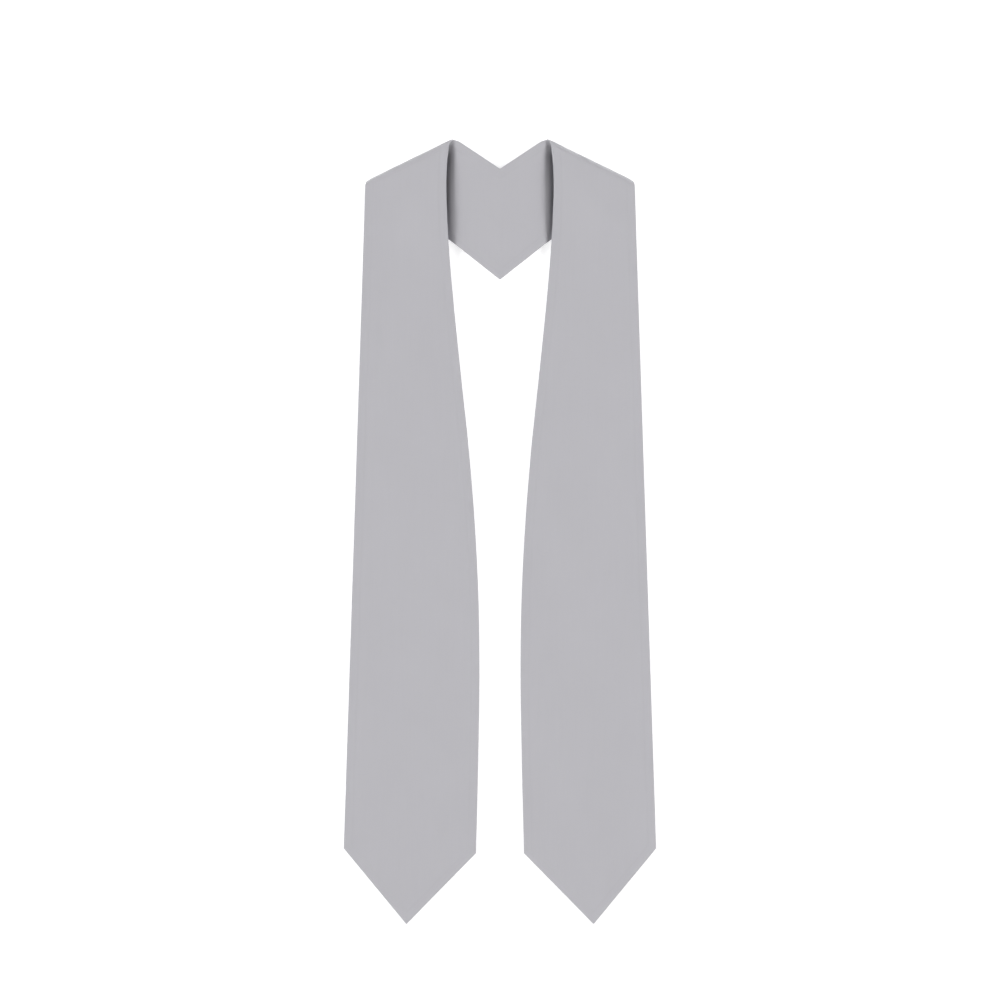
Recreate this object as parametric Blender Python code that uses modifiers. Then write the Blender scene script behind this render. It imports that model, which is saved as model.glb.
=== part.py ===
"""A graduation stole laid flat: two long fronts with pointed hems, folded forward over a V-shaped back panel.

Lengths are in metres and +Z is up. Seen from above, the neck is towards +Y and the hems towards -Y. The
origin is on the table, under the middle of the stole.

Sizes are read from the neck: "out" is the distance from the centre line, and "drop" is the distance below
the two peaks of the neckline. At each shoulder the cloth turns over in a half circle. The back panel
takes the lower quarter of that turn and the front takes the upper one, so the shoulder seam lies along
the outermost line of the fold.
"""

import bisect
import math
from typing import NamedTuple

import bmesh
import bpy
import numpy as np
from mathutils import Vector


class Spot(NamedTuple):
    """A place on the stole seen from above."""

    out: float
    drop: float


# ---- The cloth -------------------------------------------------------------------------------------
CLOTH = 0.0012  # wall: two layers of satin with interfacing between them
SEAM_GAP = 0.0003  # between two pieces at a seam
LAY_GAP = 0.0003  # between a front and the back panel that it lies on
SATIN_GREY = (0.491, 0.485, 0.514, 1.0)
SATIN_ROUGHNESS = 0.42

# ---- The outline -----------------------------------------------------------------------------------
NECK_Y = 0.4583  # the neckline's peaks, ahead of the middle of the stole
NECK_PEAK = Spot(out=0.0537, drop=0.0)
SHOULDER_TIP = Spot(out=0.1568, drop=0.0502)
HEM_OUTER = Spot(out=0.1820, drop=0.8274)
HEM_INNER = Spot(out=0.0279, drop=0.8330)
HEM_POINT = Spot(out=0.1091, drop=0.9158)
BACK_NOTCH = Spot(out=0.0, drop=0.0351)

# The edge of a front beside the neck and down the middle, from the shoulder fold to the hem.
FRONT_INNER_EDGE = (
    Spot(out=0.0596, drop=0.0102),
    Spot(out=0.0614, drop=0.0260),
    Spot(out=0.0625, drop=0.0520),
    Spot(out=0.0616, drop=0.0900),
    Spot(out=0.0591, drop=0.1320),
    Spot(out=0.0542, drop=0.1900),
    Spot(out=0.0456, drop=0.2750),
    Spot(out=0.0362, drop=0.3640),
    Spot(out=0.0292, drop=0.4520),
    Spot(out=0.0250, drop=0.5400),
    Spot(out=0.0239, drop=0.6250),
    Spot(out=0.0251, drop=0.7130),
    Spot(out=0.0279, drop=0.8330),
)

# The lower edge of the back panel, from its point at the centre to the outer end of the shoulder.
BACK_LOWER_EDGE = (
    Spot(out=0.0, drop=0.1642),
    Spot(out=0.0600, drop=0.1172),
    Spot(out=0.1568, drop=0.0450),
)

# ---- The shoulder folds ----------------------------------------------------------------------------
FOLD_RADIUS = 0.006  # of the middle of the wall
SEAM_NECK_END = 0.0022  # along the shoulder, from the neck's peak
SEAM_OUTER_END = 0.1120

# ---- How the cloth lies ----------------------------------------------------------------------------
FOLD_SETTLE = 0.050  # from a fold to where the front has come down from the fold's full height
STEP_DOWN = 0.035  # over which a front comes off the back panel's lower edge onto the table
# Beside the neck the inner edge of each front stands up, and comes down below the back panel.
CURL_HEIGHT = 0.0085
CURL_WIDTH = 0.046
CURL_STAYS = 0.090  # from the fold
CURL_ENDS = 0.185
# Between the fronts the back panel arches up, and falls to the table again under each front's edge.
ARCH_HEIGHT = 0.005
ARCH_FLAT_OUT = 0.050
ARCH_FALL = 0.018
ARCH_TO_FOLD = 0.018
ARCH_TO_LOWER_EDGE = 0.020

# ---- Mesh fineness ---------------------------------------------------------------------------------
FRONT_COLUMNS = 12  # even, so that one runs to the hem's point
FRONT_ROWS = 44
FRONT_ROW_SPREAD = 1.5  # rows are closer together near the shoulder
HEM_ROW_SPREAD = 3  # how late the rows start to bend towards the hem's point
BACK_COLUMNS = 10
BACK_ROWS = 26  # on each half
FOLD_ROWS = 8
FOLD_ROW_SPREAD = 1.5  # rows are closer together towards the seam


# ---- Small helpers ---------------------------------------------------------------------------------
def mix(start, end, share):
    return start + (end - start) * share


def ease(share):
    """0 up to 0 and 1 from 1, with a soft start and end between them."""
    share = min(max(share, 0.0), 1.0)
    return share * share * (3.0 - 2.0 * share)


def plan(spot):
    """The spot as a point seen from above, measured from the middle of the neckline's peaks."""
    return Vector((spot.out, -spot.drop))


# ---- The shoulder line -----------------------------------------------------------------------------
SHOULDER_RUN = plan(SHOULDER_TIP) - plan(NECK_PEAK)
ALONG = SHOULDER_RUN.normalized()
AWAY = Vector((-ALONG.y, ALONG.x))  # square to the shoulder line, out of the stole
FOLD_FACE = -CLOTH / 2.0  # the outermost line of the wall's middle, in the AWAY direction
FOLD_START = FOLD_FACE - FOLD_RADIUS  # where the wall leaves the flat and starts to turn
FOLD_LENGTH = math.pi / 2.0 * FOLD_RADIUS - SEAM_GAP / 2.0  # of one piece's quarter turn
FOLD_CENTRE = CLOTH / 2.0 + FOLD_RADIUS  # height above the table


def along_and_away(point):
    offset = point - plan(NECK_PEAK)
    return offset.dot(ALONG), offset.dot(AWAY)


def from_shoulder(along, away):
    return plan(NECK_PEAK) + ALONG * along + AWAY * away


class Turn(NamedTuple):
    """How an edge goes round the fold, as places along the shoulder: its start, its lean and its seam end."""

    start: float
    lean: float
    seam_end: float

    def along(self, share):
        straight = self.start + self.lean * FOLD_LENGTH * share
        miss = self.seam_end - (self.start + self.lean * FOLD_LENGTH)
        return straight + miss * share * share


def turn_of_edge(near, far, seam_end):
    """The turn of an edge that runs from far to near before it reaches the fold."""
    near_along, near_away = along_and_away(plan(near))
    far_along, far_away = along_and_away(plan(far))
    lean = (near_along - far_along) / (near_away - far_away)
    return Turn(near_along + lean * (FOLD_START - near_away), lean, seam_end)


FRONT_INNER_TURN = turn_of_edge(FRONT_INNER_EDGE[0], FRONT_INNER_EDGE[1], SEAM_NECK_END)
FRONT_OUTER_TURN = turn_of_edge(SHOULDER_TIP, HEM_OUTER, SEAM_OUTER_END)
BACK_TOP_TURN = turn_of_edge(NECK_PEAK, BACK_NOTCH, SEAM_NECK_END)
BACK_LOWER_TURN = turn_of_edge(BACK_LOWER_EDGE[2], BACK_LOWER_EDGE[1], SEAM_OUTER_END)


def fold_point(turns, across, row, side_up):
    """A point on the fold: across runs from one edge's turn to the other's, row from the flat to the seam."""
    share = 1.0 - (1.0 - row / FOLD_ROWS) ** FOLD_ROW_SPREAD
    angle = FOLD_LENGTH * share / FOLD_RADIUS
    along = mix(turns[0].along(share), turns[1].along(share), across)
    point = from_shoulder(along, FOLD_START + FOLD_RADIUS * math.sin(angle))
    return Vector((point.x, point.y, FOLD_CENTRE + side_up * FOLD_RADIUS * math.cos(angle)))


# ---- The back panel --------------------------------------------------------------------------------
def lower_edge_drop(out):
    """The drop of the back panel's lower edge at this distance from the centre line."""
    outs = [spot.out for spot in BACK_LOWER_EDGE]
    drops = [spot.drop for spot in BACK_LOWER_EDGE]
    return float(np.interp(out, outs, drops))


def above_lower_edge(point):
    """How far a point is above the back panel's lower edge, square to that edge."""
    run = plan(BACK_LOWER_EDGE[1]) - plan(BACK_LOWER_EDGE[0])
    return (lower_edge_drop(point.x) + point.y) * run.x / run.length


def back_height(point):
    arch = 1.0 - ease((point.x - ARCH_FLAT_OUT) / ARCH_FALL)
    arch *= ease((FOLD_START - along_and_away(point)[1]) / ARCH_TO_FOLD)
    arch *= ease(above_lower_edge(point) / ARCH_TO_LOWER_EDGE)
    return CLOTH / 2.0 + ARCH_HEIGHT * arch


def back_point(across, share):
    """Across runs from the top edge to the lower one, share from the fold to the centre line."""
    top = mix(from_shoulder(BACK_TOP_TURN.start, FOLD_START), plan(BACK_NOTCH), share)
    lower_start = from_shoulder(BACK_LOWER_TURN.start, FOLD_START)
    lower_out = mix(lower_start.x, 0.0, share)
    lower = Vector((lower_out, -lower_edge_drop(lower_out)))
    point = mix(top, lower, across)
    return Vector((point.x, point.y, back_height(point)))


# ---- The fronts ------------------------------------------------------------------------------------
def inner_edge_out(drop):
    """How far out a front's inner edge is at this drop, on a smooth curve through its spots."""
    outs = [spot.out for spot in FRONT_INNER_EDGE]
    drops = [spot.drop for spot in FRONT_INNER_EDGE]
    slopes = np.gradient(outs, drops)
    row = min(max(bisect.bisect(drops, drop) - 1, 0), len(drops) - 2)
    step = drops[row + 1] - drops[row]
    share = min(max((drop - drops[row]) / step, 0.0), 1.0)
    bend = slopes[row] * (1.0 - share) - slopes[row + 1] * share
    return float(mix(outs[row], outs[row + 1], ease(share)) + bend * step * share * (1.0 - share))


def hem_pull(across):
    """How far the hem hangs below the straight line between its two corners."""
    width = HEM_OUTER.out - HEM_INNER.out
    point_across = (HEM_POINT.out - HEM_INNER.out) / width
    depth = HEM_POINT.drop - mix(HEM_INNER.drop, HEM_OUTER.drop, point_across)
    return depth * min(across / point_across, (1.0 - across) / (1.0 - point_across))


def front_height(point, from_inner_edge):
    from_fold = FOLD_START - along_and_away(point)[1]
    on_back = 1.0 - ease(-above_lower_edge(point) / STEP_DOWN)
    rest = CLOTH / 2.0 + (CLOTH + LAY_GAP) * on_back
    curl = CURL_HEIGHT * max(1.0 - from_inner_edge / CURL_WIDTH, 0.0) ** 2
    curl *= 1.0 - ease((from_fold - CURL_STAYS) / (CURL_ENDS - CURL_STAYS))
    return mix(FOLD_CENTRE + FOLD_RADIUS, rest + curl, ease(from_fold / FOLD_SETTLE))


def front_point(across, share):
    """Across runs from the inner edge to the outer one, share from the fold to the hem."""
    inner_start = from_shoulder(FRONT_INNER_TURN.start, FOLD_START)
    inner_drop = mix(-inner_start.y, HEM_INNER.drop, share)
    inner = Vector((inner_edge_out(inner_drop), -inner_drop))
    outer = mix(from_shoulder(FRONT_OUTER_TURN.start, FOLD_START), plan(HEM_OUTER), share)
    point = mix(inner, outer, across)
    point.y -= hem_pull(across) * share**HEM_ROW_SPREAD
    height = front_height(point, (outer - inner).length * across)
    return Vector((point.x, point.y, height))


def front_across(column):
    """The share of the width at a column, with the middle column on the hem's point."""
    point_across = (HEM_POINT.out - HEM_INNER.out) / (HEM_OUTER.out - HEM_INNER.out)
    return float(np.interp(column, (0, FRONT_COLUMNS / 2, FRONT_COLUMNS), (0.0, point_across, 1.0)))


# ---- Meshes and objects ----------------------------------------------------------------------------
def sheet_mesh(name, columns, rows, place):
    """An open sheet: a grid whose points are moved to place(column, row)."""
    shape = bmesh.new()
    bmesh.ops.create_grid(shape, x_segments=columns, y_segments=rows, size=1.0)
    for vert in shape.verts:
        column = round((vert.co.x + 1.0) / 2.0 * columns)
        row = round((vert.co.y + 1.0) / 2.0 * rows)
        vert.co = place(column, row)
    bmesh.ops.recalc_face_normals(shape, faces=shape.faces)
    mesh = bpy.data.meshes.new(name)
    shape.to_mesh(mesh)
    shape.free()
    mesh.shade_smooth()
    return mesh


def front_mesh(name, side):
    """One front. Its rows run from the hem to the seam; side is -1 on the left and 1 on the right."""

    def place(column, row):
        across = front_across(column)
        if row <= FRONT_ROWS:
            share = ((FRONT_ROWS - row) / FRONT_ROWS) ** FRONT_ROW_SPREAD
            point = front_point(across, share)
        else:
            turns = (FRONT_INNER_TURN, FRONT_OUTER_TURN)
            point = fold_point(turns, across, row - FRONT_ROWS, 1.0)
        return Vector((side * point.x, point.y, point.z))

    return sheet_mesh(name, FRONT_COLUMNS, FRONT_ROWS + FOLD_ROWS, place)


def back_half_mesh(name):
    """The right half of the back panel. Its rows run from the centre line to the seam."""

    def place(column, row):
        across = column / BACK_COLUMNS
        if row <= BACK_ROWS:
            return back_point(across, 1.0 - row / BACK_ROWS)
        turns = (BACK_TOP_TURN, BACK_LOWER_TURN)
        return fold_point(turns, across, row - BACK_ROWS, -1.0)

    return sheet_mesh(name, BACK_COLUMNS, BACK_ROWS + FOLD_ROWS, place)


def satin_material(name):
    material = bpy.data.materials.new(name)
    material.use_nodes = True
    surface = material.node_tree.nodes["Principled BSDF"]
    surface.inputs["Base Color"].default_value = SATIN_GREY
    surface.inputs["Roughness"].default_value = SATIN_ROUGHNESS
    surface.inputs["Metallic"].default_value = 0.0
    return material


def add_piece(mesh, collection, parent):
    piece = bpy.data.objects.new(mesh.name, mesh)
    piece.parent = parent
    mesh.materials.append(satin_material(mesh.name + "_satin"))
    collection.objects.link(piece)
    return piece


def add_wall(piece):
    wall = piece.modifiers.new("wall", "SOLIDIFY")
    wall.thickness = CLOTH
    wall.offset = 0.0
    wall.use_even_offset = True


def clear_scene():
    for item in list(bpy.data.objects):
        bpy.data.objects.remove(item, do_unlink=True)


def main():
    clear_scene()
    collection = bpy.data.collections.new("graduation_stole")
    bpy.context.scene.collection.children.link(collection)
    neckline = bpy.data.objects.new("neckline", None)
    neckline.location = (0.0, NECK_Y, 0.0)
    collection.objects.link(neckline)

    for name, side in (("front_left", -1.0), ("front_right", 1.0)):
        add_wall(add_piece(front_mesh(name, side), collection, neckline))

    back = add_piece(back_half_mesh("back_panel"), collection, neckline)
    halves = back.modifiers.new("halves", "MIRROR")
    halves.merge_threshold = 0.0001
    add_wall(back)


main()
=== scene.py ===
# %% [markdown]
# # A graduation stole, laid flat
#
# A stole is a long scarf worn over a gown. This one is grey satin and has three cut pieces: two long
# fronts with pointed hems, and a small back panel with a V-shaped top and bottom edge. The fronts are
# sewn to the back panel at the shoulders and fold forward over it. The picture looks straight down on
# it, so it lies on a table.
#
# The plain solids come first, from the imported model. They say where each piece is. This lesson then
# makes each piece again as thin cloth, with soft folds, pressed edges and a satin finish.

import bisect
import math
from typing import NamedTuple

import bmesh
import bpy
import numpy as np
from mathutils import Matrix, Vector, noise


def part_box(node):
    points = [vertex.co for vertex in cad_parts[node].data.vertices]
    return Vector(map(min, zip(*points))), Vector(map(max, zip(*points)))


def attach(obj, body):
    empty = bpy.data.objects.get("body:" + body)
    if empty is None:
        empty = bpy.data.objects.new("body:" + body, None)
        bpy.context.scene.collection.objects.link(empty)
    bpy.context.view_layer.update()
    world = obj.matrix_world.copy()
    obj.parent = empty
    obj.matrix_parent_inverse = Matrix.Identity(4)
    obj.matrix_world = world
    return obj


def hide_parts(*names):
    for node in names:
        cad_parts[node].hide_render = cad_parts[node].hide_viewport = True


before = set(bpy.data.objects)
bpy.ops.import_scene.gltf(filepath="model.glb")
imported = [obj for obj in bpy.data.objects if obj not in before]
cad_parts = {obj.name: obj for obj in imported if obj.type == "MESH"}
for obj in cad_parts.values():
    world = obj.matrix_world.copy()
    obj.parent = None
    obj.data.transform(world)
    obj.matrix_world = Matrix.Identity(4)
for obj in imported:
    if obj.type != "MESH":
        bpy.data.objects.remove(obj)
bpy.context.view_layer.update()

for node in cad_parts:
    low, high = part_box(node)
    size_in_mm = [round(1000 * length, 1) for length in high - low]
    print(f"{node}: {size_in_mm} mm")

# %% [markdown]
# ## The outline
#
# A pattern maker draws a stole from a few corner points, and so does this cell. "Out" is the distance
# from the centre line and "drop" is the distance below the two peaks of the neckline, both in metres.
# Only the inner edge of the fronts is a curve, so it has a longer table. It could be a Bezier curve,
# but a table with a smooth line through it keeps every spot exactly where it was measured.

# %% The sizes of the cut
class Spot(NamedTuple):
    """A place on the stole seen from above."""

    out: float
    drop: float


NECK_Y = 0.4583  # the neckline's peaks, ahead of the middle of the stole
NECK_PEAK = Spot(out=0.0537, drop=0.0)
SHOULDER_TIP = Spot(out=0.1568, drop=0.0502)
HEM_OUTER = Spot(out=0.1820, drop=0.8274)
HEM_INNER = Spot(out=0.0279, drop=0.8330)
HEM_POINT = Spot(out=0.1091, drop=0.9158)
BACK_NOTCH = Spot(out=0.0, drop=0.0355)

# The edge of a front beside the neck and down the middle, from the shoulder fold to the hem.
FRONT_INNER_EDGE = (
    Spot(out=0.0596, drop=0.0102),
    Spot(out=0.0614, drop=0.0260),
    Spot(out=0.0625, drop=0.0520),
    Spot(out=0.0616, drop=0.0900),
    Spot(out=0.0591, drop=0.1320),
    Spot(out=0.0542, drop=0.1900),
    Spot(out=0.0456, drop=0.2750),
    Spot(out=0.0362, drop=0.3640),
    Spot(out=0.0292, drop=0.4520),
    Spot(out=0.0250, drop=0.5400),
    Spot(out=0.0239, drop=0.6250),
    Spot(out=0.0251, drop=0.7130),
    Spot(out=0.0279, drop=0.8330),
)

# The lower edge of the back panel, from its point at the centre to the outer end of the shoulder.
BACK_LOWER_EDGE = (
    Spot(out=0.0, drop=0.1649),
    Spot(out=0.0600, drop=0.1176),
    Spot(out=0.1568, drop=0.0450),
)

HEM_WIDTH = HEM_OUTER.out - HEM_INNER.out
print(f"hem {1000 * HEM_WIDTH:.0f} mm wide, drop {1000 * HEM_POINT.drop:.0f} mm")

# %% [markdown]
# ## Small tools for soft shapes
#
# Cloth has no sudden bends, so nearly every height below is blended with `ease`, a curve that leaves 0
# and reaches 1 without a corner. `mix` is a straight blend, and `plan` turns a spot of the cut into a
# point seen from above.

# %% Blending helpers
def mix(start, end, share):
    return start + (end - start) * share


def ease(share):
    """0 up to 0 and 1 from 1, with a soft start and end between them."""
    share = min(max(share, 0.0), 1.0)
    return share * share * (3.0 - 2.0 * share)


def plan(spot):
    """The spot as a point seen from above, measured from the middle of the neckline's peaks."""
    return Vector((spot.out, -spot.drop))


print("ease at a quarter, half and three quarters:", ease(0.25), ease(0.5), ease(0.75))

# %% [markdown]
# ## The shoulder fold
#
# At each shoulder the stole turns over in a half circle. The seam that joins a front to the back panel
# lies along the outermost line of that fold, so the back panel takes the lower quarter of the turn and
# the front takes the upper one. Every place near the shoulder is given as "along" the shoulder line and
# "away" from it. That makes the slanted fold as easy to write as a straight one.

# %% Along the shoulder and away from it
CLOTH = 0.0012  # two layers of satin with interfacing between them
SEAM_GAP = 0.0003
FOLD_RADIUS = 0.006  # of the middle of the cloth
SEAM_NECK_END = 0.0022  # along the shoulder, from the neck's peak
SEAM_OUTER_END = 0.1120

SHOULDER_RUN = plan(SHOULDER_TIP) - plan(NECK_PEAK)
ALONG = SHOULDER_RUN.normalized()
AWAY = Vector((-ALONG.y, ALONG.x))  # square to the shoulder line, out of the stole
FOLD_START = -CLOTH / 2.0 - FOLD_RADIUS  # where the cloth leaves the flat and starts to turn
FOLD_LENGTH = math.pi / 2.0 * FOLD_RADIUS - SEAM_GAP / 2.0  # of one piece's quarter turn
FOLD_CENTRE = CLOTH / 2.0 + FOLD_RADIUS  # height above the table


def along_and_away(point):
    offset = point - plan(NECK_PEAK)
    return offset.dot(ALONG), offset.dot(AWAY)


def from_shoulder(along, away):
    return plan(NECK_PEAK) + ALONG * along + AWAY * away


slant = math.degrees(math.atan2(-ALONG.y, ALONG.x))
print(f"shoulder {1000 * SHOULDER_RUN.length:.0f} mm long, {slant:.0f} degrees off level")

# %% [markdown]
# ## How an edge goes round the fold
#
# The front's edge and the back panel's edge come to the fold from different directions, and they must
# meet at the seam. Each edge therefore starts in its own direction and drifts to the seam's end with
# the square of the way round.

# %% The turn of an edge
class Turn(NamedTuple):
    """How an edge goes round the fold, as places along the shoulder: its start, its lean and its seam end."""

    start: float
    lean: float
    seam_end: float

    def along(self, share):
        straight = self.start + self.lean * FOLD_LENGTH * share
        miss = self.seam_end - (self.start + self.lean * FOLD_LENGTH)
        return straight + miss * share * share


def turn_of_edge(near, far, seam_end):
    """The turn of an edge that runs from far to near before it reaches the fold."""
    near_along, near_away = along_and_away(plan(near))
    far_along, far_away = along_and_away(plan(far))
    lean = (near_along - far_along) / (near_away - far_away)
    return Turn(near_along + lean * (FOLD_START - near_away), lean, seam_end)


FRONT_INNER_TURN = turn_of_edge(FRONT_INNER_EDGE[0], FRONT_INNER_EDGE[1], SEAM_NECK_END)
FRONT_OUTER_TURN = turn_of_edge(SHOULDER_TIP, HEM_OUTER, SEAM_OUTER_END)
BACK_TOP_TURN = turn_of_edge(NECK_PEAK, BACK_NOTCH, SEAM_NECK_END)
BACK_LOWER_TURN = turn_of_edge(BACK_LOWER_EDGE[2], BACK_LOWER_EDGE[1], SEAM_OUTER_END)
FRONT_TURNS = (FRONT_INNER_TURN, FRONT_OUTER_TURN)
BACK_TURNS = (BACK_TOP_TURN, BACK_LOWER_TURN)
for name, turn in zip(("front's inner edge", "front's outer edge"), FRONT_TURNS):
    print(f"{name} starts to turn {1000 * turn.start:.1f} mm along and ends at {1000 * turn.seam_end:.1f} mm")

# %% [markdown]
# ## The fold's own unevenness
#
# No one presses the shoulder folds of a satin stole, so each one is a soft roll. Its radius swells and
# narrows a little along the seam. Both corners are pinched by the bulk of the turned edges there, so the
# neck's peaks and the shoulders' corners look rounded from above. At the neck the roll is pressed flatter
# and the arched back panel lifts the seam.

# %% The roll along the seam
NECK_PINCH = 0.0005  # how far the fold's outermost line is drawn in at the two ends of the seam
OUTER_PINCH = 0.0008
PINCH_REACH = 0.0085
NECK_RAISE = 0.0015  # of the seam's neck end, which the arched back panel holds up
NECK_PRESS = 0.45  # of the front's roll height that is left there
NECK_REACH = 0.030
SEAM_ROOM = 0.0009  # under the front's rim where its roll is pressed flatter, or the rims would touch
ROLL_UNEVENNESS = 0.045  # of the fold's radius
ROLL_WAVE = 0.021
ROLL_DRAWN_IN = 0.5  # taken off the waves, so that the roll hardly grows past its radius


def pinch(along):
    """How far the fold's outermost line is drawn in at this place along the seam."""
    drawn = 0.0
    for depth, from_end in ((NECK_PINCH, along - SEAM_NECK_END), (OUTER_PINCH, SEAM_OUTER_END - along)):
        drawn += depth * min(max(1.0 - from_end / PINCH_REACH, 0.0), 1.0) ** 2
    return drawn


def seam_height(along):
    return FOLD_CENTRE + NECK_RAISE * (1.0 - ease((along - SEAM_NECK_END) / NECK_REACH))


def front_start_height(along):
    """The height at which the front leaves the roll. The roll is pressed flatter at the neck."""
    return seam_height(along) + FOLD_RADIUS * mix(NECK_PRESS, 1.0, ease((along - SEAM_NECK_END) / NECK_REACH))


for name, along in (("neck", SEAM_NECK_END), ("outer", SEAM_OUTER_END)):
    roll_height = front_start_height(along) - seam_height(along)
    print(f"{name} end: pinched {1000 * pinch(along):.1f} mm, front's roll {1000 * roll_height:.1f} mm high")

# %% [markdown]
# ## A point on the fold
#
# Where the roll is pressed flatter it is no circle any more, so each piece turns along an ellipse, which
# fits between any two heights. Each point also keeps its place on the flat cut, as if the fold were
# rolled out, because the weave, the bands and the puckers follow the cut.

# %% Place on the fold
class Place(NamedTuple):
    """Where a point of the cloth lies, and where it was on the cut before the fold."""

    point: Vector
    cut: Vector


def fold_place(turns, across, share, seed, start_height):
    """Across runs from one edge's turn to the other's, share from the flat to the seam."""
    along = mix(turns[0].along(share), turns[1].along(share), across)
    upright = start_height(along) - seam_height(along)
    round_turn = FOLD_LENGTH / FOLD_RADIUS
    flat_turn = math.asin(share * math.sin(round_turn))  # keeps the steps even where the roll is pressed flat
    roundness = min(abs(upright) / FOLD_RADIUS, 1.0)
    angle = mix(flat_turn, round_turn * share, roundness)
    room = SEAM_ROOM * (1.0 - roundness) * share if upright > 0.0 else 0.0
    wave = noise.noise((along / ROLL_WAVE, seed, 0.0)) - ROLL_DRAWN_IN
    roll = FOLD_RADIUS * (1.0 + ROLL_UNEVENNESS * share * wave)
    away = FOLD_START + (roll - pinch(along)) * math.sin(angle)
    point = from_shoulder(along, away)
    cut = from_shoulder(along, FOLD_START + FOLD_LENGTH * share)
    return Place(Vector((point.x, point.y, seam_height(along) + upright * math.cos(angle) + room)), cut)


seam_middle = fold_place(FRONT_TURNS, 0.5, 1.0, 0.0, front_start_height).point
print(f"middle of the seam is {1000 * seam_middle.z:.1f} mm above the table")

# %% [markdown]
# ## How far a place is from the edges
#
# A stole is sewn inside out and turned, so a strip of folded cloth about 8 mm wide runs inside every
# edge. It shows as a slightly thicker band, and the stitching draws the edge into tiny puckers. Both
# follow the edges, so the next two steps measure, on the flat cut, how far each point is from each edge.

# %% Measures to curves and lines
LOWER_OUTS = [spot.out for spot in BACK_LOWER_EDGE]
LOWER_DROPS = [spot.drop for spot in BACK_LOWER_EDGE]
INNER_OUTS = [spot.out for spot in FRONT_INNER_EDGE]
INNER_DROPS = [spot.drop for spot in FRONT_INNER_EDGE]
INNER_SLOPES = np.gradient(INNER_OUTS, INNER_DROPS)


def lower_edge_drop(out):
    """The drop of the back panel's lower edge at this distance from the centre line."""
    return float(np.interp(out, LOWER_OUTS, LOWER_DROPS))


def above_lower_edge(point):
    """How far a point is above the back panel's lower edge, square to that edge."""
    run = plan(BACK_LOWER_EDGE[1]) - plan(BACK_LOWER_EDGE[0])
    return (lower_edge_drop(point.x) + point.y) * run.x / run.length


def inner_edge_out(drop):
    """How far out a front's inner edge is at this drop, on a smooth curve through its spots."""
    row = min(max(bisect.bisect(INNER_DROPS, drop) - 1, 0), len(INNER_DROPS) - 2)
    step = INNER_DROPS[row + 1] - INNER_DROPS[row]
    share = min(max((drop - INNER_DROPS[row]) / step, 0.0), 1.0)
    bend = INNER_SLOPES[row] * (1.0 - share) - INNER_SLOPES[row + 1] * share
    return float(mix(INNER_OUTS[row], INNER_OUTS[row + 1], ease(share)) + bend * step * share * (1.0 - share))


def past_line(point, start, end):
    """How far a point is to the left of the line from start to end."""
    run = (end - start).normalized()
    offset = point - start
    return run.x * offset.y - run.y * offset.x


for drop in (0.1, 0.5):
    print(f"{1000 * drop:.0f} mm down, a front's inner edge is {1000 * inner_edge_out(drop):.1f} mm out")

# %% [markdown]
# ## The edges of each piece
#
# Every edge gets a number of its own, so that no two edges pucker alike. The halves of the back panel
# are mirror images, so its edges also say which half is meant. Otherwise the puckers would mirror too.

# %% Edges of the cut
class Edge(NamedTuple):
    """The distance of a point from one edge, how far along that edge it is, and which edge it is."""

    distance: float
    along: float
    number: int


def front_edges(cut):
    """The front's edges as seen from a point of its cut: inner, outer, both sides of the hem, and seam."""
    along, away = along_and_away(cut)
    return (
        Edge(cut.x - inner_edge_out(-cut.y), -cut.y, 1),
        Edge(past_line(cut, plan(HEM_OUTER), plan(SHOULDER_TIP)), -cut.y, 2),
        Edge(past_line(cut, plan(HEM_INNER), plan(HEM_POINT)), cut.x, 3),
        Edge(past_line(cut, plan(HEM_POINT), plan(HEM_OUTER)), cut.x, 4),
        Edge(FOLD_START + FOLD_LENGTH - away, along, 5),
    )


def back_edges(cut, side=1.0):
    """The back panel's edges, top, lower and seam. Side is -1 where a point's mirror image is meant."""
    along, away = along_and_away(cut)
    return (
        Edge(past_line(cut, plan(NECK_PEAK), plan(BACK_NOTCH)), side * cut.x, 6),
        Edge(above_lower_edge(cut), side * cut.x, 7),
        Edge(FOLD_START + FOLD_LENGTH - away, side * along, 8),
    )


middle_of_front = Vector((0.11, -0.5))
distances = [round(1000 * edge.distance) for edge in front_edges(middle_of_front)]
print("from the middle of a front to its edges, mm:", distances)

# %% [markdown]
# ## Thickness and puckers
#
# The thickness of the cloth can't be the same all over: the pressed band inside each edge adds a layer.
# The puckers are short ridges that run in from the stitching and fade out in less than a centimetre.
# They are uneven in length, height and spacing, so they come from smooth noise along the edge.

# %% Thickness of the cloth
BAND_WIDTH = 0.0078  # of the seam allowance folded inside an edge
BAND_STEP = 0.0032  # over which the band's thickness ends
BAND_EXTRA = 0.00024
THICKEST = CLOTH + BAND_EXTRA


def thickness(edges):
    band = max(1.0 - ease((edge.distance - BAND_WIDTH) / BAND_STEP) for edge in edges)
    return CLOTH + BAND_EXTRA * band


PUCKER_HEIGHT = 0.0005
PUCKER_REACH = 0.0105
PUCKER_WAVE = 0.0110
PUCKER_PATCH = 0.045  # over which puckers come and go
PUCKER_COVER = 0.35  # higher for puckers along more of an edge
REACH_UNEVENNESS = 0.5
REACH_SEED = 7.0  # keeps the reach apart from the ridges
RIDGE_STEEPNESS = 0.9


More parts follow.
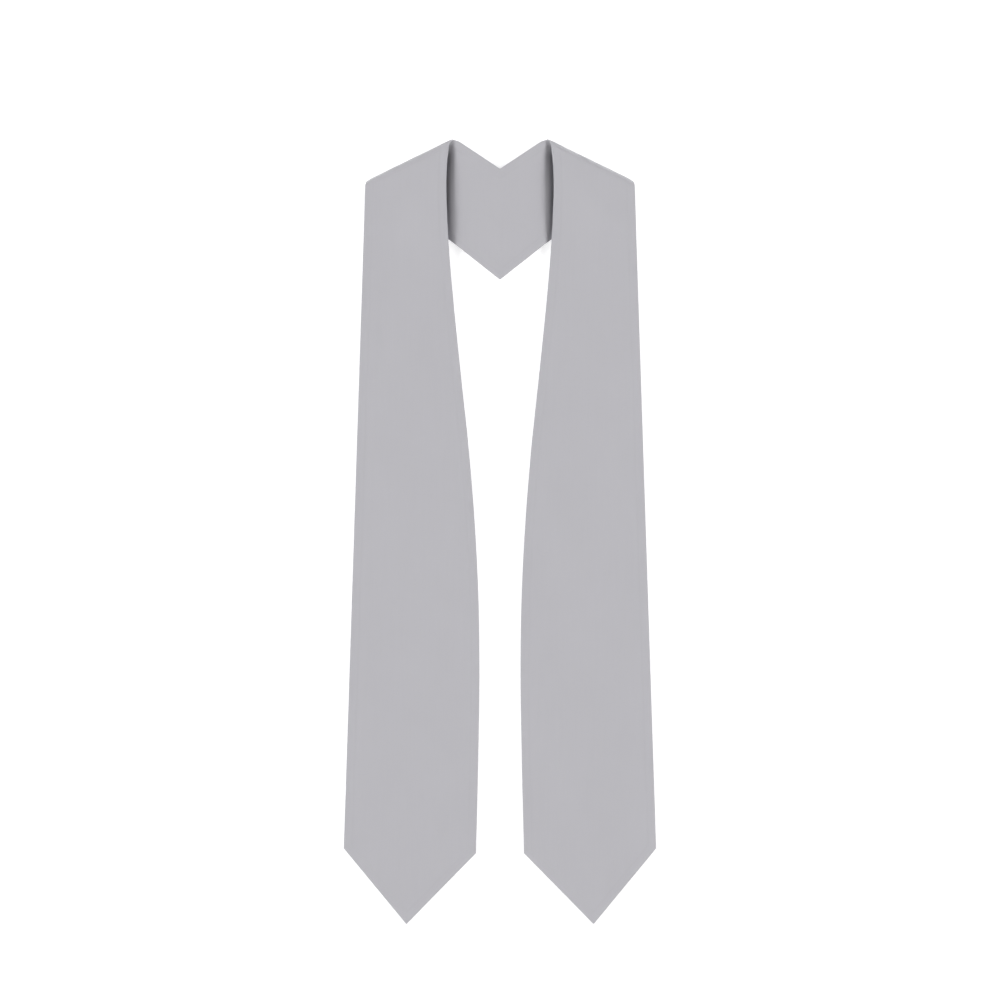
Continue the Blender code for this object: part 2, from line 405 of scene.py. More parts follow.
def puckers(edges, seed):
    """The height of the small ridges that run in from the stitched edges."""
    height = 0.0
    for edge in edges:
        stray = noise.noise((edge.along / PUCKER_PATCH, edge.number, seed + REACH_SEED))
        reach = PUCKER_REACH * (1.0 + REACH_UNEVENNESS * stray)
        fade = math.exp(-((edge.distance / reach) ** 2))
        patch = max(PUCKER_COVER + noise.noise((edge.along / PUCKER_PATCH, seed, edge.number)), 0.0)
        ridge = ease(0.5 + RIDGE_STEEPNESS * noise.noise((edge.along / PUCKER_WAVE, edge.number, seed)))
        height += PUCKER_HEIGHT * fade * patch * ridge
    return height


middle_thickness = thickness(front_edges(middle_of_front))
print(f"thickness {1000 * THICKEST:.2f} mm at an edge, {1000 * middle_thickness:.2f} mm in the middle")

# %% [markdown]
# ## The heights at which the cloth lies
#
# The back panel lies on the table. Between the fronts it arches up a few millimetres, because the two
# shoulder folds hold its ends open, and it falls again under each front's edge. The fronts come down
# from the folds onto the back panel, step off its lower edge and lie on the table. Beside the neck their
# inner edges stand up in a soft curl, and that is what makes the dark shade along them. The shade could
# be painted, but then it would be wrong from every other side. Further from the folds both the arch and
# the curl get lower, because nothing holds them up there.

# %% Sizes of the arch, the curl and the swells
LAY_GAP = 0.0009  # between a front and the back panel, room for the bands and puckers of both
FOLD_SETTLE = 0.050  # from a fold to where the front has left the fold's height
NECK_SETTLE = 0.010  # the same beside the neck, where the curl takes over at once
NECK_SETTLE_REACH = 0.045
STEP_DOWN = 0.035  # over which a front comes off the back panel's lower edge onto the table
CURL_HEIGHT = 0.0116
CURL_WIDTH = 0.080
CURL_STAYS = 0.010  # from the fold
CURL_ENDS = 0.205
ARCH_HEIGHT_AT_FOLD = 0.0061
ARCH_HEIGHT = 0.0053
ARCH_SEEN_AT_FOLD = 0.0145  # how much of the fall is seen beside the front's edge
ARCH_SEEN = 0.0089
ARCH_NARROWS = 0.090  # from the fold, over which the arch gets lower and its falls narrower
ARCH_FALL = 1.35  # length of the whole fall, for each part that is seen
ARCH_LATENESS = 1.65  # above 1 the fall starts gently and is steepest under the front's edge
PEAK_HELD = 0.77  # of the fall that the neck's end of the fold holds back
PEAK_REACH_ALONG = 0.030
PEAK_REACH_AWAY = 0.012
ARCH_TO_LOWER_EDGE = 0.050
ARCH_AT_POINT = 0.45  # of the arch that is left at the back panel's lower edge, at its point
ARCH_AT_FRONTS = 1.0  # and where the fronts cover it
SWELL_HEIGHT = 0.0034  # of the broad, low waves in cloth that was unfolded and laid down
SWELL_LENGTH = 0.120
SWELL_WIDTH = 0.060
SWELL_COVER = 0.25  # higher for swells on more of the cloth

for name, height in (("arch", ARCH_HEIGHT_AT_FOLD), ("curl", CURL_HEIGHT), ("swell", SWELL_HEIGHT)):
    print(f"{name} up to {1000 * height:.1f} mm")

# %% [markdown]
# ## Arch, curl and swell
#
# Each of them is a height above the table. The arch falls under the front's edge, the curl fades away
# from that edge and from the fold, and the swells are smooth noise that is stretched lengthwise.

# %% Heights above the table
def swell(cut, seed):
    """The low waves of cloth that was unfolded by hand. They are longer than they are wide."""
    wave = noise.noise((cut.x / SWELL_WIDTH, cut.y / SWELL_LENGTH, seed))
    return SWELL_HEIGHT * max(SWELL_COVER + wave, 0.0)


def back_arch(point):
    """How high the back panel's underside lies above the table."""
    along, away = along_and_away(point)
    from_fold = FOLD_START - away
    held = (1.0 - ease(along / PEAK_REACH_ALONG)) * (1.0 - ease(from_fold / PEAK_REACH_AWAY))
    narrowed = ease(from_fold / ARCH_NARROWS)
    seen = mix(ARCH_SEEN_AT_FOLD, ARCH_SEEN, narrowed)
    from_start = point.x - inner_edge_out(-point.y) + seen
    fall = ease(max(from_start / (seen * ARCH_FALL), 0.0) ** ARCH_LATENESS)
    arch = 1.0 - fall * (1.0 - PEAK_HELD * held)
    at_edge = mix(ARCH_AT_POINT, ARCH_AT_FRONTS, ease(point.x / FRONT_INNER_EDGE[0].out))
    arch *= mix(at_edge, 1.0, ease(above_lower_edge(point) / ARCH_TO_LOWER_EDGE))
    return mix(ARCH_HEIGHT_AT_FOLD, ARCH_HEIGHT, narrowed) * arch


def front_lift(point, from_inner_edge):
    """How high the underside of a front lies above the table, away from the fold."""
    from_fold = FOLD_START - along_and_away(point)[1]
    on_back = 1.0 - ease(-above_lower_edge(point) / STEP_DOWN)
    curl = CURL_HEIGHT * (1.0 - ease(from_inner_edge / CURL_WIDTH))
    curl *= 1.0 - ease((from_fold - CURL_STAYS) / (CURL_ENDS - CURL_STAYS))
    return (CLOTH + LAY_GAP) * on_back + curl


beside_neck = Vector((inner_edge_out(0.05), -0.05))
print(f"beside the neck the back panel lies {1000 * back_arch(beside_neck):.1f} mm up")
print(f"and the front's edge above it {1000 * front_lift(beside_neck, 0.0):.1f} mm up")

# %% [markdown]
# ## Where each point of a front goes
#
# A front is thought of as a net. "Across" runs from its inner edge to its outer one, and "share" runs
# from the shoulder fold down to the hem. The last rows bend towards the hem's point, so that the edge
# of the net is the pointed hem itself and no cutting is needed.

# %% A point of a front
POINT_ACROSS = (HEM_POINT.out - HEM_INNER.out) / HEM_WIDTH
HEM_ROW_SPREAD = 3  # how late the rows start to bend towards the hem's point


def hem_pull(across):
    """How far the hem hangs below the straight line between its two corners."""
    depth = HEM_POINT.drop - mix(HEM_INNER.drop, HEM_OUTER.drop, POINT_ACROSS)
    return depth * min(across / POINT_ACROSS, (1.0 - across) / (1.0 - POINT_ACROSS))


def front_place(across, share, seed):
    """The place of a point of the front between the fold and the hem, as the middle of the cloth."""
    inner_start = from_shoulder(FRONT_INNER_TURN.start, FOLD_START)
    inner_drop = mix(-inner_start.y, HEM_INNER.drop, share)
    inner = Vector((inner_edge_out(inner_drop), -inner_drop))
    outer = mix(from_shoulder(FRONT_OUTER_TURN.start, FOLD_START), plan(HEM_OUTER), share)
    cut = mix(inner, outer, across)
    cut.y -= hem_pull(across) * share**HEM_ROW_SPREAD
    edges = front_edges(cut)
    lying = thickness(edges) / 2.0 + front_lift(cut, (outer - inner).length * across)
    lying += swell(cut, seed) + puckers(edges, seed)
    along, away = along_and_away(cut)
    settle = mix(NECK_SETTLE, FOLD_SETTLE, ease(along / NECK_SETTLE_REACH))
    down = ease((FOLD_START - away) / settle)
    height = mix(front_start_height(along), lying, down)
    return Place(Vector((cut.x, cut.y, height)), cut)


tip = front_place(POINT_ACROSS, 1.0, 1.0)
print("the hem's point is at", [round(1000 * length, 1) for length in tip.point], "mm from the neck")

# %% [markdown]
# ## Where each point of the back panel goes
#
# The back panel is a net too. "Across" runs from its top edge to its lower one, and "share" from the
# fold to the centre line. The left half is the mirror of the right one, apart from its waves.

# %% A point of the back panel
def back_place(across, share, side, seed):
    top = mix(from_shoulder(BACK_TOP_TURN.start, FOLD_START), plan(BACK_NOTCH), share)
    lower_start = from_shoulder(BACK_LOWER_TURN.start, FOLD_START)
    lower_out = mix(lower_start.x, 0.0, share)
    cut = mix(top, Vector((lower_out, -lower_edge_drop(lower_out))), across)
    edges = back_edges(cut, side)
    height = thickness(edges) / 2.0 + back_arch(cut) + puckers(edges, seed)
    return Place(Vector((cut.x, cut.y, height)), cut)


notch = back_place(0.0, 1.0, 1.0, 3.0)
print("the notch is at", [round(1000 * length, 1) for length in notch.point], "mm from the neck")

# %% [markdown]
# ## Rows and columns
#
# A net with equal squares wastes points in the calm middle and has too few at the edges. The steps
# between rows and between columns therefore grow with the distance from the nearest edge.

# %% Spacing of the net
class Spacing(NamedTuple):
    """The step at an edge, how much it grows for each metre away from the edge, and the widest step."""

    finest: float
    growth: float
    coarsest: float


ACROSS_A_FRONT = Spacing(finest=0.0006, growth=0.09, coarsest=0.0030)
DOWN_A_FRONT = Spacing(finest=0.0009, growth=0.045, coarsest=0.0024)
FOLD_ROWS = 12
FOLD_CROWDING = 1.5  # above 1 the rows of the fold lie closer together towards the seam
COUNTING_STEPS = 2000  # for adding up the rows along a length


def spaced(length, spacing, both_ends=True):
    """Shares from 0 to 1 along a length, close together at its start and, if asked, at its end."""
    samples = np.linspace(0.0, length, COUNTING_STEPS)
    from_end = np.minimum(samples, length - samples) if both_ends else samples
    per_metre = 1.0 / np.minimum(spacing.finest + spacing.growth * from_end, spacing.coarsest)
    count = np.concatenate([[0.0], np.cumsum((per_metre[1:] + per_metre[:-1]) / 2.0 * np.diff(samples))])
    steps = max(round(count[-1]), 2)
    return np.interp(np.linspace(0.0, count[-1], steps + 1), count, samples) / length


to_the_point = spaced(HEM_WIDTH / 2.0, ACROSS_A_FRONT, both_ends=False)
from_the_point = 1.0 - to_the_point[-2::-1] * (1.0 - POINT_ACROSS)
FRONT_COLUMNS = np.concatenate([to_the_point * POINT_ACROSS, from_the_point])
FRONT_ROWS = spaced(HEM_INNER.drop, DOWN_A_FRONT)
FOLD_SHARES = 1.0 - (1.0 - np.linspace(0.0, 1.0, FOLD_ROWS + 1)) ** FOLD_CROWDING
print(f"front: {len(FRONT_COLUMNS)} columns, {len(FRONT_ROWS)} rows and {FOLD_ROWS} round the fold")

# %% [markdown]
# ## Making a net of cloth
#
# `bmesh.ops.create_grid` makes the net, and its points are then moved to their places. Each point also
# keeps its place on the flat cut as a UV map in metres, which the weave follows round the fold, its
# distance from the nearest edge, and the thickness of the cloth there.

# %% Net, cut map and thickness
CUT_MAP = "cut_in_metres"
FROM_EDGE = "from_edge"
THICKNESS_GROUP = "cloth_thickness"


def cloth_mesh(name, columns, rows, place, edges_of):
    """An open net of cloth. Place(column, row) says where a point goes, on the right half of the stole."""
    shape = bmesh.new()
    bmesh.ops.create_grid(shape, x_segments=columns, y_segments=rows, size=1.0)
    weights = shape.verts.layers.deform.verify()
    from_edge = shape.verts.layers.float.new(FROM_EDGE)
    cut_map = shape.loops.layers.uv.new(CUT_MAP)
    cuts = {}
    for vert in shape.verts:
        side, found = place(round((vert.co.x + 1.0) / 2.0 * columns), round((vert.co.y + 1.0) / 2.0 * rows))
        edges = edges_of(found.cut)
        vert[weights][0] = thickness(edges) / THICKEST
        vert[from_edge] = max(min(edge.distance for edge in edges), 0.0)
        vert.co = (side * found.point.x, found.point.y + NECK_Y, found.point.z)
        cuts[vert] = (side * found.cut.x, found.cut.y)
    for face in shape.faces:
        for loop in face.loops:
            loop[cut_map].uv = cuts[loop.vert]
    bmesh.ops.recalc_face_normals(shape, faces=shape.faces)
    mesh = bpy.data.meshes.new(name)
    shape.to_mesh(mesh)
    shape.free()
    mesh.shade_smooth()
    print(f"{name}: {len(mesh.vertices)} points, {len(mesh.polygons)} squares")
    return mesh


# %% [markdown]
# ## From a net to a thin shell
#
# The Solidify modifier gives the net its thickness, on both sides of the middle, with the weights of
# the thickness group. A Bevel rounds the rims, because turned and pressed satin has no sharp edge.

# %% Solidify and round the rims
RIM_ROUND = 0.00045
RIM_SEGMENTS = 2
SHARP_FROM = math.radians(50.0)  # between two faces


def finish_cloth(mesh):
    piece = bpy.data.objects.new(mesh.name, mesh)
    bpy.context.scene.collection.objects.link(piece)
    group = piece.vertex_groups.new(name=THICKNESS_GROUP)
    wall = piece.modifiers.new("wall", "SOLIDIFY")
    wall.thickness = THICKEST
    wall.offset = 0.0
    wall.use_even_offset = True
    wall.vertex_group = group.name
    rims = piece.modifiers.new("rounded_rims", "BEVEL")
    rims.width = RIM_ROUND
    rims.segments = RIM_SEGMENTS
    rims.limit_method = "ANGLE"
    rims.angle_limit = SHARP_FROM
    return piece


# %% [markdown]
# ## The two fronts
#
# Both fronts are cut from one pattern and mirrored. A real pair never lies exactly alike, so each has
# its own seed for the waves and puckers.

# %% Make the fronts
LEFT_SEED = 11.3
RIGHT_SEED = 47.9


def front_mesh(name, side, seed):
    def place(column, row):
        if row < len(FRONT_ROWS):
            return side, front_place(FRONT_COLUMNS[column], 1.0 - FRONT_ROWS[row], seed)
        share = FOLD_SHARES[row - len(FRONT_ROWS) + 1]
        return side, fold_place(FRONT_TURNS, FRONT_COLUMNS[column], share, side, front_start_height)

    rows = len(FRONT_ROWS) + len(FOLD_SHARES) - 2
    return cloth_mesh(name, len(FRONT_COLUMNS) - 1, rows, place, front_edges)


left_front = finish_cloth(front_mesh("left_front_satin", -1.0, LEFT_SEED))
right_front = finish_cloth(front_mesh("right_front_satin", 1.0, RIGHT_SEED))

# %% [markdown]
# ## The back panel
#
# Its net runs from the left seam through the centre line to the right seam, in one piece.

# %% Make the back panel
BACK_SEED = 83.1
DOWN_THE_BACK = Spacing(finest=0.0006, growth=0.09, coarsest=0.0030)
ALONG_THE_BACK = Spacing(finest=0.0022, growth=0.0, coarsest=0.0022)
BACK_COLUMNS = spaced(BACK_LOWER_EDGE[0].drop - BACK_NOTCH.drop, DOWN_THE_BACK)
BACK_ROWS = spaced(SHOULDER_TIP.out, ALONG_THE_BACK)


def back_mesh(name, seed):
    half = len(BACK_ROWS) + len(FOLD_SHARES) - 2

    def place(column, row):
        side, step = (1.0 if row >= half else -1.0), abs(row - half)
        across = BACK_COLUMNS[column]
        if step < len(BACK_ROWS):
            return side, back_place(across, 1.0 - BACK_ROWS[step], side, seed)
        share = FOLD_SHARES[step - len(BACK_ROWS) + 1]
        start = back_place(across, 0.0, side, seed).point.z
        return side, fold_place(BACK_TURNS, across, share, side, lambda along: start)

    return cloth_mesh(name, len(BACK_COLUMNS) - 1, 2 * half, place, back_edges)


back_panel = finish_cloth(back_mesh("back_neck_satin", BACK_SEED))

# %% [markdown]
# ## Node groups: small machines with named sockets
#
# The satin below is a sum of small effects, and some of them come back with other numbers, so each one
# is a node group that is built once. The first helper makes a group from two lists of sockets, and the
# others add nodes to it. A group only puts out numbers; the shader itself stays in the material.

# %% Helpers for node groups
def new_group(name, inputs, outputs):
    """A shader node group. Inputs are (name, socket type, default), outputs are names of plain numbers."""
    group = bpy.data.node_groups.new(name, "ShaderNodeTree")
    for label, kind, default in inputs:
        socket = group.interface.new_socket(name=label, in_out="INPUT", socket_type=kind)
        if default is not None:
            socket.default_value = default
    for label in outputs:
        group.interface.new_socket(name=label, in_out="OUTPUT", socket_type="NodeSocketFloat")
    return group, group.nodes.new("NodeGroupInput").outputs, group.nodes.new("NodeGroupOutput").inputs


def feed(tree, socket, value):
    """Links a socket to another one, or sets it to a number."""
    if isinstance(value, bpy.types.NodeSocket):
        tree.links.new(value, socket)
    else:
        socket.default_value = value


def math_node(tree, operation, first, second=0.0, third=0.0):
    node = tree.nodes.new("ShaderNodeMath")
    node.operation = operation
    for socket, value in zip(node.inputs, (first, second, third)):
        feed(tree, socket, value)
    return node.outputs[0]


def soft_step(tree, value, start, end, low=0.0, high=1.0):
    """A Map Range node with soft ends: low up to start and high from end."""
    node = tree.nodes.new("ShaderNodeMapRange")
    node.interpolation_type = "SMOOTHSTEP"
    labels = ("Value", "From Min", "From Max", "To Min", "To Max")
    for label, number in zip(labels, (value, start, end, low, high)):
        feed(tree, node.inputs[label], number)
    return node.outputs["Result"]


# %% [markdown]
# ## The satin weave
#
# Satin shines because its lengthwise threads float over four crosswise threads before they dip under
# one. Each neighbouring thread dips two steps further on, so the dips never line up. The group divides
# the cut map into threads, gives each a rounded top, and presses it down at its own dips. A picture of
# cloth would also do, but it would be blurred close up and would have to be stored with the part.

# %% Weave group
THREAD = 0.00022  # the width of one floating thread
THREADS_TO_A_DIP = 5.0
DIP_STEP = 2.0 / THREADS_TO_A_DIP  # how much further along the next thread dips
DIP_BOTTOM = 0.02
DIP_RIM = 0.16


def make_weave_group():
    group, given, out = new_group(
        "satin_weave",
        [("Cut Map", "NodeSocketVector", None), ("Thread", "NodeSocketFloat", THREAD)],
        ["Height"],
    )
    split = group.nodes.new("ShaderNodeSeparateXYZ")
    feed(group, split.inputs[0], given["Cut Map"])
    across = math_node(group, "DIVIDE", split.outputs["X"], given["Thread"])
    thread_number = math_node(group, "FLOOR", across)
    place_on_thread = math_node(group, "FRACT", across)
    to_far_side = math_node(group, "SUBTRACT", 1.0, place_on_thread)
    arched = math_node(group, "MULTIPLY", place_on_thread, to_far_side)
    round_top = math_node(group, "MULTIPLY", arched, 4.0)  # 1 in the thread's middle
    repeat = math_node(group, "MULTIPLY", given["Thread"], THREADS_TO_A_DIP)
    along = math_node(group, "DIVIDE", split.outputs["Y"], repeat)
    stepped = math_node(group, "MULTIPLY_ADD", thread_number, DIP_STEP, along)
    from_dip = math_node(group, "PINGPONG", stepped, 0.5)
    over_dip = soft_step(group, from_dip, DIP_BOTTOM, DIP_RIM)
    feed(group, out["Height"], math_node(group, "MULTIPLY", round_top, over_dip))
    return group


weave_group = make_weave_group()
print("weave group:", len(weave_group.nodes), "nodes")

# %% [markdown]
# ## Streaks and clouds
#
# Woven threads differ a little in thickness and twist, which gives satin faint long streaks in the
# direction of its floating threads. Larger, softer clouds come from handling and pressing. Both are
# noise; only the stretch of its coordinates differs, so one group serves both.

# %% Stretched noise group
def make_stretched_noise_group():
    group, given, out = new_group(
        "stretched_noise",
        [
            ("Cut Map", "NodeSocketVector", None),
            ("Width", "NodeSocketFloat", 0.002),
            ("Length", "NodeSocketFloat", 0.06),
            ("Detail", "NodeSocketFloat", 2.0),
        ],
        ["Value"],
    )
    split = group.nodes.new("ShaderNodeSeparateXYZ")
    feed(group, split.inputs[0], given["Cut Map"])
    join = group.nodes.new("ShaderNodeCombineXYZ")
    feed(group, join.inputs["X"], math_node(group, "DIVIDE", split.outputs["X"], given["Width"]))
    feed(group, join.inputs["Y"], math_node(group, "DIVIDE", split.outputs["Y"], given["Length"]))
    texture = group.nodes.new("ShaderNodeTexNoise")
    texture.noise_dimensions = "2D"
    feed(group, texture.inputs["Vector"], join.outputs[0])
    feed(group, texture.inputs["Scale"], 1.0)
    feed(group, texture.inputs["Detail"], given["Detail"])
    centred = math_node(group, "SUBTRACT", texture.outputs["Fac"], 0.5)
    feed(group, out["Value"], math_node(group, "MULTIPLY", centred, 2.0))
    return group


noise_group = make_stretched_noise_group()
print("stretched noise group:", len(noise_group.nodes), "nodes")

# %% [markdown]
# ## Pressed edges, and a painted shade line
#
# The iron flattens the band of folded cloth inside every edge, so it shines a little more. Where the
# folded layer ends, a faint darker line is painted into the colour as the shade of that small step. The
# group turns the distance from the edge, which every point carries, into those two masks.

# %% Pressed edge group
WANDER = 0.0008  # how far the end of the folded layer strays from its line
PAINTED_LINE_REACH = 0.0018  # to where the line has faded out, on each side


def make_pressed_band_and_painted_line_group():
    group, given, out = new_group(
        "pressed_band_and_painted_line",
        [
            ("From Edge", "NodeSocketFloat", 1.0),
            ("Band", "NodeSocketFloat", BAND_WIDTH),
            ("Unevenness", "NodeSocketFloat", 0.0),
        ],
        ["Band Mask", "Painted Shade Mask"],
    )
    wandering = math_node(group, "MULTIPLY_ADD", given["Unevenness"], WANDER, given["From Edge"])
    inner_end = math_node(group, "ADD", given["Band"], BAND_STEP)
    feed(group, out["Band Mask"], soft_step(group, wandering, given["Band"], inner_end, 1.0, 0.0))
    middle = math_node(group, "MULTIPLY_ADD", BAND_STEP, 0.5, given["Band"])
    from_line = math_node(group, "ABSOLUTE", math_node(group, "SUBTRACT", wandering, middle))
    # painted shade: a darker line where the folded layer inside the edge ends
    feed(group, out["Painted Shade Mask"], soft_step(group, from_line, 0.0, PAINTED_LINE_REACH, 1.0, 0.0))
    return group


edge_group = make_pressed_band_and_painted_line_group()
print("pressed edge group:", len(edge_group.nodes), "nodes")

# %% [markdown]
# ## Grey satin
#
# The colour is one even grey, a touch cooler than neutral. Streaks and clouds change it by a percent or
# so, as on real cloth, and a painted shade line darkens it a little where the folded layer inside each
# edge ends. Streaks, clouds and pressed bands change the roughness a little more, so they show where the
# satin catches the light. Threads that lie side by side spread the shine sideways, across them. That
# is the anisotropic setting, with its tangent along the cut map.

# %% Places to put the groups
def place_group(tree, group, **values):
    node = tree.nodes.new("ShaderNodeGroup")
    node.node_tree = group
    for label, value in values.items():
        feed(tree, node.inputs[label.replace("_", " ")], value)
    return node.outputs


def bump(tree, height, distance, normal=None):
    node = tree.nodes.new("ShaderNodeBump")
    feed(tree, node.inputs["Height"], height)
    feed(tree, node.inputs["Distance"], distance)
    if normal:
        feed(tree, node.inputs["Normal"], normal)
    return node.outputs["Normal"]


def weighted_sum(tree, start, *terms):
    """start + value * weight + ..., as a chain of Multiply Add nodes."""
    total = start
    for value, weight in terms:
        total = math_node(tree, "MULTIPLY_ADD", value, weight, total)
    return total


print("groups ready:", ", ".join(group.name for group in bpy.data.node_groups))

# %% [markdown]
# ## Numbers of the satin
#
# A noise needs a width and a length on the cut, in metres. The weights below say how much each effect
# changes the shade, as a share of the colour, and the roughness. The depths are those of the bumps. The
# roughness stays above 0.28 with all that is taken off it. Below that, the denoiser takes a patch for a
# mirror and leaves hard marks at its edge.

# %% Satin numbers
SATIN_GREY = (0.491, 0.485, 0.514)
SATIN_ROUGHNESS = 0.335
SIDEWAYS_SHINE = 0.5
SHINE = 0.3
NAP = 0.06  # fine fibres that catch light at a low angle
NAP_ROUGHNESS = 0.4

THREAD_STREAKS = {"Width": 0.0022, "Length": 0.090, "Detail": 3.0}
SLUBS = {"Width": 0.0009, "Length": 0.022, "Detail": 1.0}  # short thick places in a thread
CLOUDS = {"Width": 0.055, "Length": 0.085, "Detail": 2.0}

STREAK_SHADE = 0.010
SLUB_SHADE = 0.004
CLOUD_SHADE = 0.010
# painted shade: darkens the colour along the end of the folded layer inside each edge
PAINTED_EDGE_SHADE = -0.018
STREAK_GLOSS = 0.010
CLOUD_GLOSS = 0.02
PRESSED_GLOSS = -0.022
WEAVE_DEPTH = 0.000012
STREAK_DEPTH = 0.000008
print(f"{1000 * THREAD:.2f} mm threads: {0.001 / THREAD * 10:.0f} to the centimetre")

# %% [markdown]
# ## The material itself
#
# The groups feed the colour, the roughness and the bumps. Numbers that are the same all over are set on
# the shader's own sockets.

# %% Satin material
def make_satin(name):
    material = bpy.data.materials.new(name)
    material.use_nodes = True
    tree = material.node_tree
    surface = tree.nodes["Principled BSDF"]
    cut_map = tree.nodes.new("ShaderNodeUVMap")
    cut_map.uv_map = CUT_MAP
    cut = cut_map.outputs["UV"]
    from_edge = tree.nodes.new("ShaderNodeAttribute")
    from_edge.attribute_name = FROM_EDGE

    streaks = place_group(tree, noise_group, Cut_Map=cut, **THREAD_STREAKS)["Value"]
    slubs = place_group(tree, noise_group, Cut_Map=cut, **SLUBS)["Value"]
    clouds = place_group(tree, noise_group, Cut_Map=cut, **CLOUDS)["Value"]
    weave = place_group(tree, weave_group, Cut_Map=cut, Thread=THREAD)["Height"]
    edge = place_group(tree, edge_group, From_Edge=from_edge.outputs["Fac"], Unevenness=clouds)

    shade = weighted_sum(
        tree, 1.0, (streaks, STREAK_SHADE), (slubs, SLUB_SHADE), (clouds, CLOUD_SHADE),
        # the last term is painted shade, a darker line at the end of the folded layer inside each edge
        (edge["Painted Shade Mask"], PAINTED_EDGE_SHADE),
    )
    tint = tree.nodes.new("ShaderNodeVectorMath")
    tint.operation = "SCALE"
    tint.inputs[0].default_value = SATIN_GREY
    feed(tree, tint.inputs["Scale"], shade)
    feed(tree, surface.inputs["Base Color"], tint.outputs[0])

    gloss = weighted_sum(
        tree, SATIN_ROUGHNESS, (streaks, STREAK_GLOSS), (clouds, CLOUD_GLOSS),
        (edge["Band Mask"], PRESSED_GLOSS),
    )
    feed(tree, surface.inputs["Roughness"], gloss)

    uneven_threads = weighted_sum(tree, 0.0, (streaks, 0.5), (slubs, 0.5))
    streak_normal = bump(tree, uneven_threads, STREAK_DEPTH)
    feed(tree, surface.inputs["Normal"], bump(tree, weave, WEAVE_DEPTH, streak_normal))

    tangent = tree.nodes.new("ShaderNodeTangent")
    tangent.direction_type = "UV_MAP"
    tangent.uv_map = CUT_MAP
    feed(tree, surface.inputs["Tangent"], tangent.outputs[0])
    surface.inputs["Anisotropic"].default_value = SIDEWAYS_SHINE
    surface.inputs["Specular IOR Level"].default_value = SHINE
    surface.inputs["Sheen Weight"].default_value = NAP
    surface.inputs["Sheen Roughness"].default_value = NAP_ROUGHNESS
    return material


grey_satin = make_satin("grey_satin")
for piece in (left_front, right_front, back_panel):
    piece.data.materials.append(grey_satin)
print("grey satin:", len(grey_satin.node_tree.nodes), "nodes")

# %% [markdown]
# ## What each piece stands for
#
# Each cloth piece takes the place of its plain solid, which is hidden, and rides on the one body.

# %% Tie the pieces to the imported model
for piece, node in ((left_front, "front_left"), (right_front, "front_right"), (back_panel, "back_panel")):
    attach(piece, "root")
    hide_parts(node)

# %% [markdown]
# ## The table
#
# The picture shows the stole on pure white with hardly a shadow. A photographer gets that from a white
# table that is lit from below, so this one glows a little. Its glow leaves room for the small soft
# shadow under the back panel, and it grows to full white further out, so no horizon shows.

# %% White table
TABLE_SIZE = 30.0
TABLE_DROP = 0.0001  # below the cloth, so the two surfaces don't flicker
TABLE_WHITE = 0.60
TABLE_ROUGHNESS = 0.9
TABLE_GLOW = 0.66
GLOW_GROWS_FROM = 0.9
GLOW_FULL_FROM = 2.4


def make_table():
    shape = bmesh.new()
    bmesh.ops.create_grid(shape, x_segments=1, y_segments=1, size=TABLE_SIZE / 2.0)
    mesh = bpy.data.meshes.new("white_table")
    shape.to_mesh(mesh)
    shape.free()
    table = bpy.data.objects.new("white_table", mesh)
    table.location.z = -TABLE_DROP
    bpy.context.scene.collection.objects.link(table)
    material = bpy.data.materials.new("white_table")
    material.use_nodes = True
    tree = material.node_tree
    surface = tree.nodes["Principled BSDF"]
    surface.inputs["Base Color"].default_value = (TABLE_WHITE, TABLE_WHITE, TABLE_WHITE, 1.0)
    surface.inputs["Roughness"].default_value = TABLE_ROUGHNESS
    surface.inputs["Specular IOR Level"].default_value = 0.0
    surface.inputs["Emission Color"].default_value = (1.0, 1.0, 1.0, 1.0)
    spot = tree.nodes.new("ShaderNodeTexCoord")
    from_centre = tree.nodes.new("ShaderNodeVectorMath")
    from_centre.operation = "LENGTH"
    feed(tree, from_centre.inputs[0], spot.outputs["Object"])
    glow = soft_step(tree, from_centre.outputs["Value"], GLOW_GROWS_FROM, GLOW_FULL_FROM, TABLE_GLOW, 1.0)
    feed(tree, surface.inputs["Emission Strength"], glow)
    mesh.materials.append(material)
    return table


print("table:", make_table().name)

# %% [markdown]
# ## The lamps
#
# Two wide softboxes stand left and right of the stole, equally bright. A slope that turns away from one
# turns towards the other, so gentle waves stay even in shade from above, as in the picture. Only beside
# the neck, where a front hides one softbox and the back panel turns away from the other, it gets dark.
# They stand high, so that the satin doesn't mirror them in a low view from the side. Six small, low and
# weak softboxes all round add the streaks of shine that it shows there.

# %% Softboxes
LAMP_DISTANCE = 4.0


class Softbox(NamedTuple):
    """A rectangular lamp: its height above the table in degrees, its power in watts and its size."""

    elevation: float
    power: float
    wide: float
    tall: float


SIDE_SOFTBOX = Softbox(elevation=35.0, power=157.0, wide=5.5, tall=1.27)
LOW_SOFTBOX = Softbox(elevation=17.0, power=10.0, wide=1.7, tall=0.55)
LOW_DIRECTIONS = (42.0, 90.0, 138.0, 222.0, 270.0, 318.0)


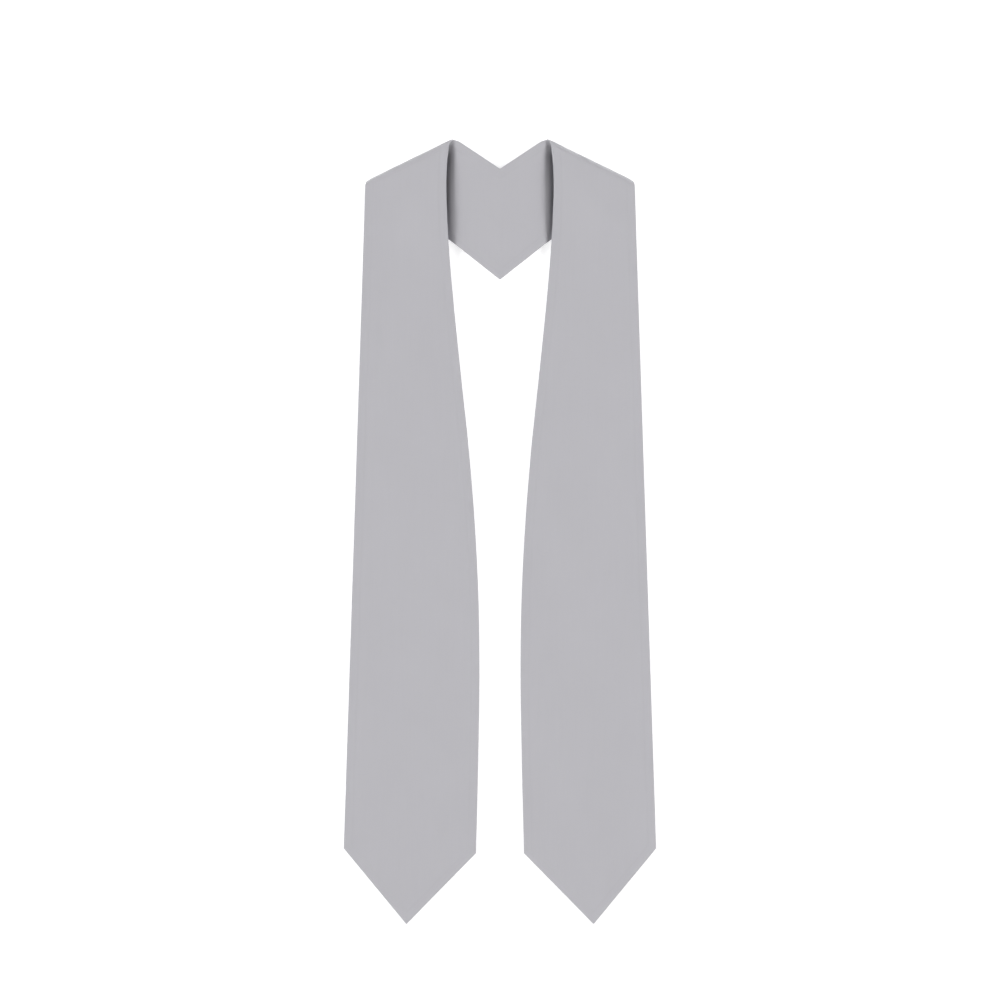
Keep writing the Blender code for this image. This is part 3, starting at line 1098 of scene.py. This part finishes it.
def place_softbox(name, softbox, azimuth):
    """Puts a softbox round the middle of the stole. Azimuth 0 is to its right and 90 towards the neck."""
    data = bpy.data.lights.new(name, "AREA")
    data.shape = "RECTANGLE"
    data.size = softbox.wide
    data.size_y = softbox.tall
    data.energy = softbox.power
    turn, lift = math.radians(azimuth), math.radians(softbox.elevation)
    level = math.cos(lift)
    where = LAMP_DISTANCE * Vector((math.cos(turn) * level, math.sin(turn) * level, math.sin(lift)))
    box = bpy.data.objects.new(name, data)
    box.location = where
    box.rotation_mode = "QUATERNION"
    box.rotation_quaternion = where.to_track_quat("Z", "Y")
    bpy.context.scene.collection.objects.link(box)


place_softbox("left_softbox", SIDE_SOFTBOX, 180.0)
place_softbox("right_softbox", SIDE_SOFTBOX, 0.0)
for number, azimuth in enumerate(LOW_DIRECTIONS):
    place_softbox(f"low_softbox_{number}", LOW_SOFTBOX, azimuth)
print(2 + len(LOW_DIRECTIONS), "softboxes")

# %% [markdown]
# ## The room
#
# The camera sees the room as white, like the picture's background. The room itself gives very little
# light, or it would fill the dark shade beside the neck. The Light Path node tells the two apart.

# %% White room
ROOM_LIGHT = 0.03

world = bpy.data.worlds.new("studio")
world.use_nodes = True
bpy.context.scene.world = world
room = world.node_tree.nodes["Background"]
room.inputs["Color"].default_value = (1.0, 1.0, 1.0, 1.0)
seen = world.node_tree.nodes.new("ShaderNodeLightPath")
strength = world.node_tree.nodes.new("ShaderNodeMapRange")
strength.inputs["To Min"].default_value = ROOM_LIGHT
strength.inputs["To Max"].default_value = 1.0
feed(world.node_tree, strength.inputs["Value"], seen.outputs["Is Camera Ray"])
feed(world.node_tree, room.inputs["Strength"], strength.outputs["Result"])
bpy.context.scene.view_settings.view_transform = "Standard"
print("room light", ROOM_LIGHT)

# %% [markdown]
# ## The camera
#
# It looks straight down from almost ten metres through a long lens, because the picture shows no
# perspective. The picture's width and centre come from the size of the stole in it.

# %% Camera above the table
PICTURE_WIDTH = 1.1653
PICTURE_CENTRE_Y = 0.0368
LENS = 300.0
SENSOR = 36.0

camera_data = bpy.data.cameras.new("overhead_camera")
camera_data.lens = LENS
camera_data.sensor_width = SENSOR
camera = bpy.data.objects.new("overhead_camera", camera_data)
camera.location = (0.0, PICTURE_CENTRE_Y, PICTURE_WIDTH * LENS / SENSOR)
bpy.context.scene.collection.objects.link(camera)
bpy.context.scene.camera = camera
print(f"camera {camera.location.z:.1f} m above the table")
